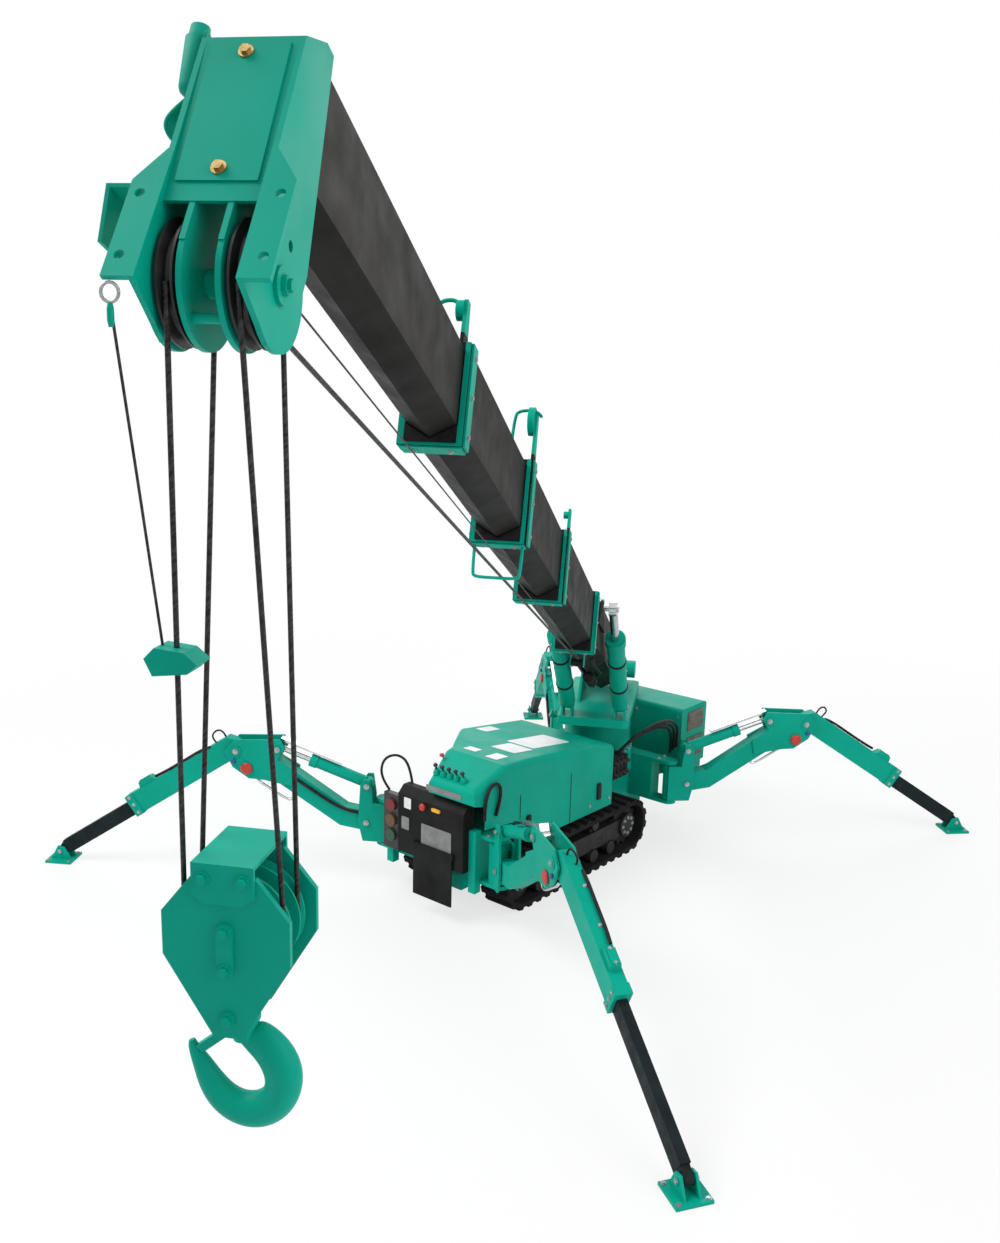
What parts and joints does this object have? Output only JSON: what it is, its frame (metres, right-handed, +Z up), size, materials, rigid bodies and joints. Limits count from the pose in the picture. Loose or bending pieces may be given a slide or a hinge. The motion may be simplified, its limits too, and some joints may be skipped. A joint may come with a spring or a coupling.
{
  "type": "mini crawler crane with folding outriggers",
  "caption": "Compact tracked crane on folding outriggers, with a slewing telescopic boom, twin luff cylinders, rope falls and a hook block.",
  "frame": {"origin": "slew axis at the ground plane under the tracks and outrigger feet", "axes": "+X towards the console end of the carrier, +Y left, +Z up along the slew axis"},
  "size_m": [6.6974, 4.945, 3.3646],
  "materials": {
    "teal_paint": "gloss",
    "boom_paint": "satin",
    "black_paint": "satin",
    "track_rubber": "matte",
    "dark_iron": "matte",
    "rod_chrome": "polished",
    "sheave_black": "satin",
    "grille_grey": "matte",
    "rope_wire": "satin",
    "lever_black": "satin",
    "lamp_lens": "gloss"
  },
  "bodies": {
    "carrier": {"carrier_frame": "teal_paint", "tracks": "track_rubber", "track_frames": "dark_iron", "hood": "teal_paint", "console": "black_paint", "levers": "lever_black", "status_lamp": "lamp_lens", "engine_cover": "teal_paint", "engine_block": "dark_iron", "grilles": "grille_grey"},
    "upper": {"turntable": "teal_paint"},
    "winch": {"winch": "black_paint"},
    "boom1": {"boom_1": "boom_paint"},
    "boom2": {"boom_2": "boom_paint"},
    "boom3": {"boom_3": "boom_paint"},
    "boom4": {"boom_4": "boom_paint"},
    "boom5": {"boom_5": "boom_paint", "boom_head": "teal_paint"},
    "head_sheaves": {"head_sheaves": "sheave_black"},
    "luff_barrels": {"luff_barrels": "teal_paint"},
    "luff_rods": {"luff_rods": "rod_chrome"},
    "falls": {"hoist_falls": "rope_wire", "overhoist_weight": "teal_paint"},
    "block": {"hook_block": "teal_paint"},
    "block_sheaves": {"block_sheaves": "sheave_black"},
    "hook": {"hook": "teal_paint"},
    "knuckle_fl": {"knuckle_fl": "teal_paint"},
    "arm_fl": {"arm_fl": "teal_paint"},
    "barrel_fl": {"lift_barrel_fl": "teal_paint"},
    "rod_fl": {"lift_rod_fl": "rod_chrome"},
    "sleeve_fl": {"leg_sleeve_fl": "teal_paint"},
    "leg_fl": {"inner_leg_fl": "black_paint"},
    "foot_fl": {"foot_fl": "teal_paint"},
    "knuckle_fr": {"knuckle_fr": "teal_paint"},
    "arm_fr": {"arm_fr": "teal_paint"},
    "barrel_fr": {"lift_barrel_fr": "teal_paint"},
    "rod_fr": {"lift_rod_fr": "rod_chrome"},
    "sleeve_fr": {"leg_sleeve_fr": "teal_paint"},
    "leg_fr": {"inner_leg_fr": "black_paint"},
    "foot_fr": {"foot_fr": "teal_paint"},
    "knuckle_rl": {"knuckle_rl": "teal_paint"},
    "arm_rl": {"arm_rl": "teal_paint"},
    "barrel_rl": {"lift_barrel_rl": "teal_paint"},
    "rod_rl": {"lift_rod_rl": "rod_chrome"},
    "sleeve_rl": {"leg_sleeve_rl": "teal_paint"},
    "leg_rl": {"inner_leg_rl": "black_paint"},
    "foot_rl": {"foot_rl": "teal_paint"},
    "knuckle_rr": {"knuckle_rr": "teal_paint"},
    "arm_rr": {"arm_rr": "teal_paint"},
    "barrel_rr": {"lift_barrel_rr": "teal_paint"},
    "rod_rr": {"lift_rod_rr": "rod_chrome"},
    "sleeve_rr": {"leg_sleeve_rr": "teal_paint"},
    "leg_rr": {"inner_leg_rr": "black_paint"},
    "foot_rr": {"foot_rr": "teal_paint"}
  },
  "joints": [
    {"name": "slew", "type": "hinge", "parent": "carrier", "child": "upper", "pos_m": [0, 0, 0.566], "axis": [0, 0, 1], "continuous": true},
    {"name": "winch_drum", "type": "hinge", "parent": "upper", "child": "winch", "pos_m": [-0.37171, -0.20604, 0.935], "axis": [-0.4848, 0.8746, 0], "continuous": true},
    {"name": "boom_luff", "type": "hinge", "parent": "upper", "child": "boom1", "pos_m": [-0.17492, -0.09696, 0.977], "axis": [0.4848, -0.8746, 0], "range_deg": [-21.9, 58.1]},
    {"name": "telescope_2", "type": "slide", "parent": "boom1", "child": "boom2", "axis": [0.8115, 0.4498, 0.373], "range_m": [-1.17, 0.23]},
    {"name": "telescope_3", "type": "slide", "parent": "boom2", "child": "boom3", "axis": [0.8115, 0.4498, 0.373], "range_m": [-0.81, 0.59]},
    {"name": "telescope_4", "type": "slide", "parent": "boom3", "child": "boom4", "axis": [0.8115, 0.4498, 0.373], "range_m": [-0.81, 0.59]},
    {"name": "telescope_5", "type": "slide", "parent": "boom4", "child": "boom5", "axis": [0.8115, 0.4498, 0.373], "range_m": [-0.81, 0.59]},
    {"name": "head_sheaves", "type": "hinge", "parent": "boom5", "child": "head_sheaves", "pos_m": [4.86329, 2.69577, 3.02863], "axis": [-0.4848, 0.8746, 0], "continuous": true},
    {"name": "luff_barrel", "type": "hinge", "parent": "upper", "child": "luff_barrels", "pos_m": [0.26239, 0.14544, 0.9], "axis": [0.4848, -0.8746, 0], "range_deg": [-24.8, 64.98]},
    {"name": "luff_rod", "type": "slide", "parent": "luff_barrels", "child": "luff_rods", "axis": [0.6409, 0.3552, 0.6805], "range_m": [-0.1834, 0.4783]},
    {"name": "hook_plumb", "type": "hinge", "parent": "boom5", "child": "falls", "pos_m": [4.86329, 2.69577, 3.02863], "axis": [0.4848, -0.8746, 0], "range_deg": [-58.2, 22]},
    {"name": "hoist", "type": "slide", "parent": "falls", "child": "block", "axis": [0, 0, -1], "range_m": [-0.15, 1.2], "deforming": ["hoist_falls"]},
    {"name": "block_sheaves", "type": "hinge", "parent": "block", "child": "block_sheaves", "pos_m": [4.86329, 2.69577, 2.12364], "axis": [0.8746, 0.4848, 0], "continuous": true},
    {"name": "hook_swivel", "type": "hinge", "parent": "block", "child": "hook", "pos_m": [4.86329, 2.69577, 1.92363], "axis": [0, 0, 1], "continuous": true},
    {"name": "swivel_fl", "type": "hinge", "parent": "carrier", "child": "knuckle_fl", "pos_m": [1.426, 0.414, 0.371], "axis": [0, 0, 1], "range_deg": [-33.3, 26.7]},
    {"name": "arm_fl", "type": "hinge", "parent": "knuckle_fl", "child": "arm_fl", "pos_m": [1.47592, 0.49483, 0.37], "axis": [0.8508, -0.5255, 0], "range_deg": [-10, 35]},
    {"name": "lift_barrel_fl", "type": "hinge", "parent": "knuckle_fl", "child": "barrel_fl", "pos_m": [1.47434, 0.49228, 0.58], "axis": [0.8508, -0.5255, 0], "range_deg": [-12.91, 43.95]},
    {"name": "lift_rod_fl", "type": "slide", "parent": "barrel_fl", "child": "rod_fl", "axis": [0.495, 0.8015, 0.3354], "range_m": [-0.1089, 0.0347]},
    {"name": "knee_fl", "type": "hinge", "parent": "arm_fl", "child": "sleeve_fl", "pos_m": [1.86004, 1.11677, 0.734], "axis": [-0.8508, 0.5255, 0], "range_deg": [-20, 50]},
    {"name": "leg_fl", "type": "slide", "parent": "sleeve_fl", "child": "leg_fl", "axis": [-0.4614, -0.747, 0.4787], "range_m": [0, 0.54]},
    {"name": "foot_fl", "type": "hinge", "parent": "leg_fl", "child": "foot_fl", "pos_m": [2.52424, 2.19219, 0.062], "axis": [0.8508, -0.5255, 0], "range_deg": [-25, 25]},
    {"name": "swivel_fr", "type": "hinge", "parent": "carrier", "child": "knuckle_fr", "pos_m": [1.426, -0.414, 0.371], "axis": [0, 0, -1], "range_deg": [-31.8, 28.2]},
    {"name": "arm_fr", "type": "hinge", "parent": "knuckle_fr", "child": "arm_fr", "pos_m": [1.47802, -0.49349, 0.37], "axis": [-0.8368, -0.5476, 0], "range_deg": [-10, 35]},
    {"name": "lift_barrel_fr", "type": "hinge", "parent": "knuckle_fr", "child": "barrel_fr", "pos_m": [1.47638, -0.49098, 0.58], "axis": [-0.8368, -0.5476, 0], "range_deg": [-12.91, 43.95]},
    {"name": "lift_rod_fr", "type": "slide", "parent": "barrel_fr", "child": "rod_fr", "axis": [0.5158, -0.7883, 0.3354], "range_m": [-0.1089, 0.0347]},
    {"name": "knee_fr", "type": "hinge", "parent": "arm_fr", "child": "sleeve_fr", "pos_m": [1.87829, -1.10517, 0.734], "axis": [0.8368, 0.5476, 0], "range_deg": [-20, 50]},
    {"name": "leg_fr", "type": "slide", "parent": "sleeve_fr", "child": "leg_fr", "axis": [-0.4581, 0.7001, 0.5477], "range_m": [-0.18, 0.36]},
    {"name": "foot_fr", "type": "hinge", "parent": "leg_fr", "child": "foot_fr", "pos_m": [2.45542, -1.98712, 0.062], "axis": [-0.8368, -0.5476, 0], "range_deg": [-25, 25]},
    {"name": "swivel_rl", "type": "hinge", "parent": "carrier", "child": "knuckle_rl", "pos_m": [-0.19, 0.414, 0.371], "axis": [0, 0, -1], "range_deg": [-28.1, 41.9]},
    {"name": "arm_rl", "type": "hinge", "parent": "knuckle_rl", "child": "arm_rl", "pos_m": [-0.25937, 0.47891, 0.37], "axis": [0.6833, 0.7302, 0], "range_deg": [-10, 35]},
    {"name": "lift_barrel_rl", "type": "hinge", "parent": "knuckle_rl", "child": "barrel_rl", "pos_m": [-0.25717, 0.47686, 0.58], "axis": [0.6833, 0.7302, 0], "range_deg": [-12.91, 43.95]},
    {"name": "lift_rod_rl", "type": "slide", "parent": "barrel_rl", "child": "rod_rl", "axis": [-0.6879, 0.6437, 0.3354], "range_m": [-0.1089, 0.0347]},
    {"name": "knee_rl", "type": "hinge", "parent": "arm_rl", "child": "sleeve_rl", "pos_m": [-0.79311, 0.97838, 0.734], "axis": [-0.6833, -0.7302, 0], "range_deg": [-20, 50]},
    {"name": "leg_rl", "type": "slide", "parent": "sleeve_rl", "child": "leg_rl", "axis": [0.6109, -0.5717, 0.5477], "range_m": [-0.18, 0.36]},
    {"name": "foot_rl", "type": "hinge", "parent": "leg_rl", "child": "foot_rl", "pos_m": [-1.56271, 1.69856, 0.062], "axis": [0.6833, 0.7302, 0], "range_deg": [-25, 25]},
    {"name": "swivel_rr", "type": "hinge", "parent": "carrier", "child": "knuckle_rr", "pos_m": [-0.19, -0.414, 0.371], "axis": [0, 0, 1], "range_deg": [-28.1, 41.9]},
    {"name": "arm_rr", "type": "hinge", "parent": "knuckle_rr", "child": "arm_rr", "pos_m": [-0.25937, -0.47891, 0.37], "axis": [-0.6833, 0.7302, 0], "range_deg": [-10, 35]},
    {"name": "lift_barrel_rr", "type": "hinge", "parent": "knuckle_rr", "child": "barrel_rr", "pos_m": [-0.25717, -0.47686, 0.58], "axis": [-0.6833, 0.7302, 0], "range_deg": [-12.91, 43.95]},
    {"name": "lift_rod_rr", "type": "slide", "parent": "barrel_rr", "child": "rod_rr", "axis": [-0.6879, -0.6437, 0.3354], "range_m": [-0.1089, 0.0347]},
    {"name": "knee_rr", "type": "hinge", "parent": "arm_rr", "child": "sleeve_rr", "pos_m": [-0.79311, -0.97838, 0.734], "axis": [0.6833, -0.7302, 0], "range_deg": [-20, 50]},
    {"name": "leg_rr", "type": "slide", "parent": "sleeve_rr", "child": "leg_rr", "axis": [0.6109, 0.5717, 0.5477], "range_m": [-0.18, 0.36]},
    {"name": "foot_rr", "type": "hinge", "parent": "leg_rr", "child": "foot_rr", "pos_m": [-1.56271, -1.69856, 0.062], "axis": [-0.6833, 0.7302, 0], "range_deg": [-25, 25]}
  ],
  "couplings": [
    {"joint": "telescope_4", "follows": "telescope_3", "ratio": 1},
    {"joint": "telescope_5", "follows": "telescope_3", "ratio": 1},
    {"joint": "luff_barrel", "follows": "boom_luff", "ratio": 1.1098},
    {"joint": "luff_rod", "follows": "boom_luff", "m_per_rad": 0.46679},
    {"joint": "hook_plumb", "follows": "boom_luff", "ratio": -1},
    {"joint": "lift_barrel_fl", "follows": "arm_fl", "ratio": 1.2415},
    {"joint": "lift_rod_fl", "follows": "arm_fl", "m_per_rad": -0.17004},
    {"joint": "lift_barrel_fr", "follows": "arm_fr", "ratio": 1.2415},
    {"joint": "lift_rod_fr", "follows": "arm_fr", "m_per_rad": -0.17004},
    {"joint": "lift_barrel_rl", "follows": "arm_rl", "ratio": 1.2415},
    {"joint": "lift_rod_rl", "follows": "arm_rl", "m_per_rad": -0.17004},
    {"joint": "lift_barrel_rr", "follows": "arm_rr", "ratio": 1.2415},
    {"joint": "lift_rod_rr", "follows": "arm_rr", "m_per_rad": -0.17004}
  ]
}
